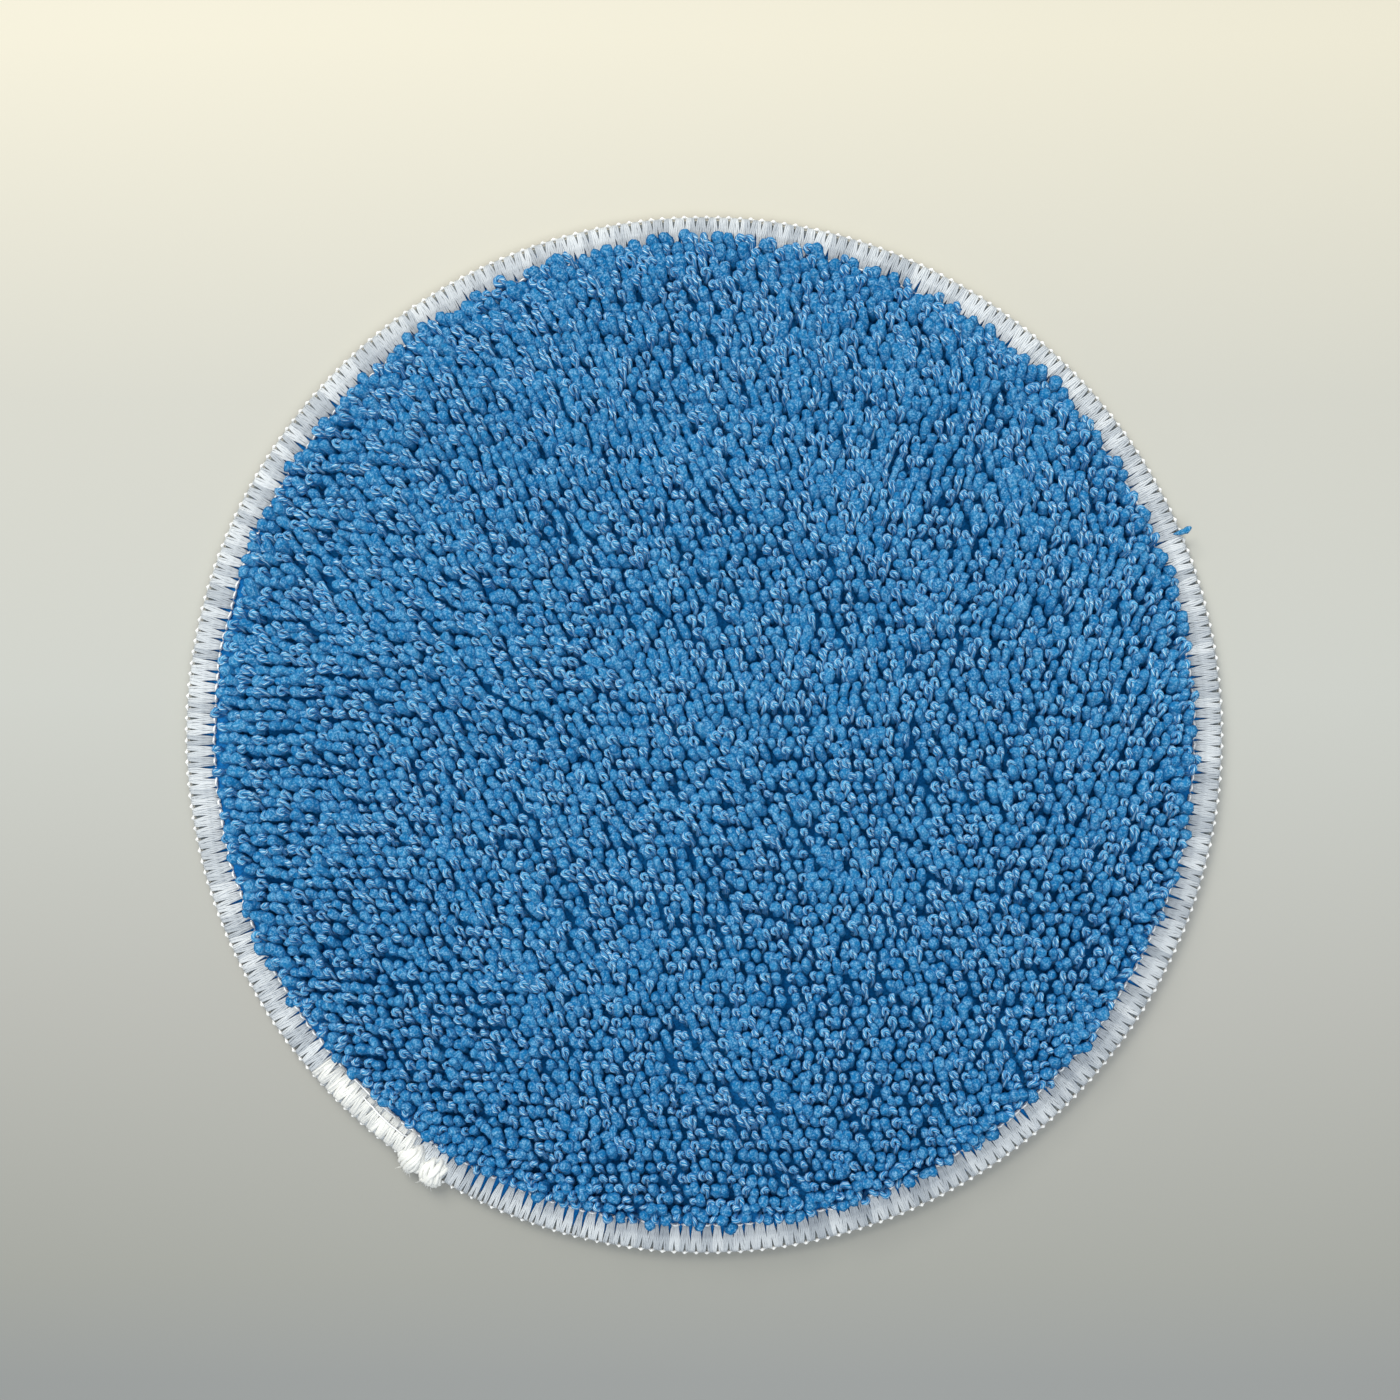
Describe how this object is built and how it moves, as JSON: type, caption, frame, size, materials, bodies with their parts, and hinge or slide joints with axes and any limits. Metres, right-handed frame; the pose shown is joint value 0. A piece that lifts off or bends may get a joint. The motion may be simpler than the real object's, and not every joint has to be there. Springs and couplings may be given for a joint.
{
  "type": "polishing pad",
  "caption": "Round microfibre twist-loop polishing pad with foam interlining, hook-and-loop backing and an overlocked edge.",
  "frame": {"origin": "centre of the backing's flat face, where the pad rests on its back", "axes": "+Z out of the pile face, square to the pad; X and Y lie in the pad, with the seam lap towards -X -Y"},
  "size_m": [0.205, 0.205, 0.0094],
  "materials": {
    "backing": "brushed loop knit, matte white",
    "foam": "open-cell foam, matte cream",
    "ground": "knitted cloth, matte dark blue",
    "soft_yarn": "twisted microfibre yarn, matte blue",
    "scrub_yarn": "twisted filament yarn, pale blue with a slight sheen",
    "needle_thread": "spun sewing thread, white",
    "looper_thread": "textured filament thread, soft white"
  },
  "bodies": {
    "root": {"backing_cloth": "backing", "foam_interlining": "foam", "ground_cloth": "ground", "soft_pile": "soft_yarn", "scrub_pile": "scrub_yarn", "needle_thread": "needle_thread", "upper_looper_thread": "looper_thread", "lower_looper_thread": "looper_thread", "seam_lap": "looper_thread", "thread_tail": "looper_thread"}
  },
  "joints": []
}
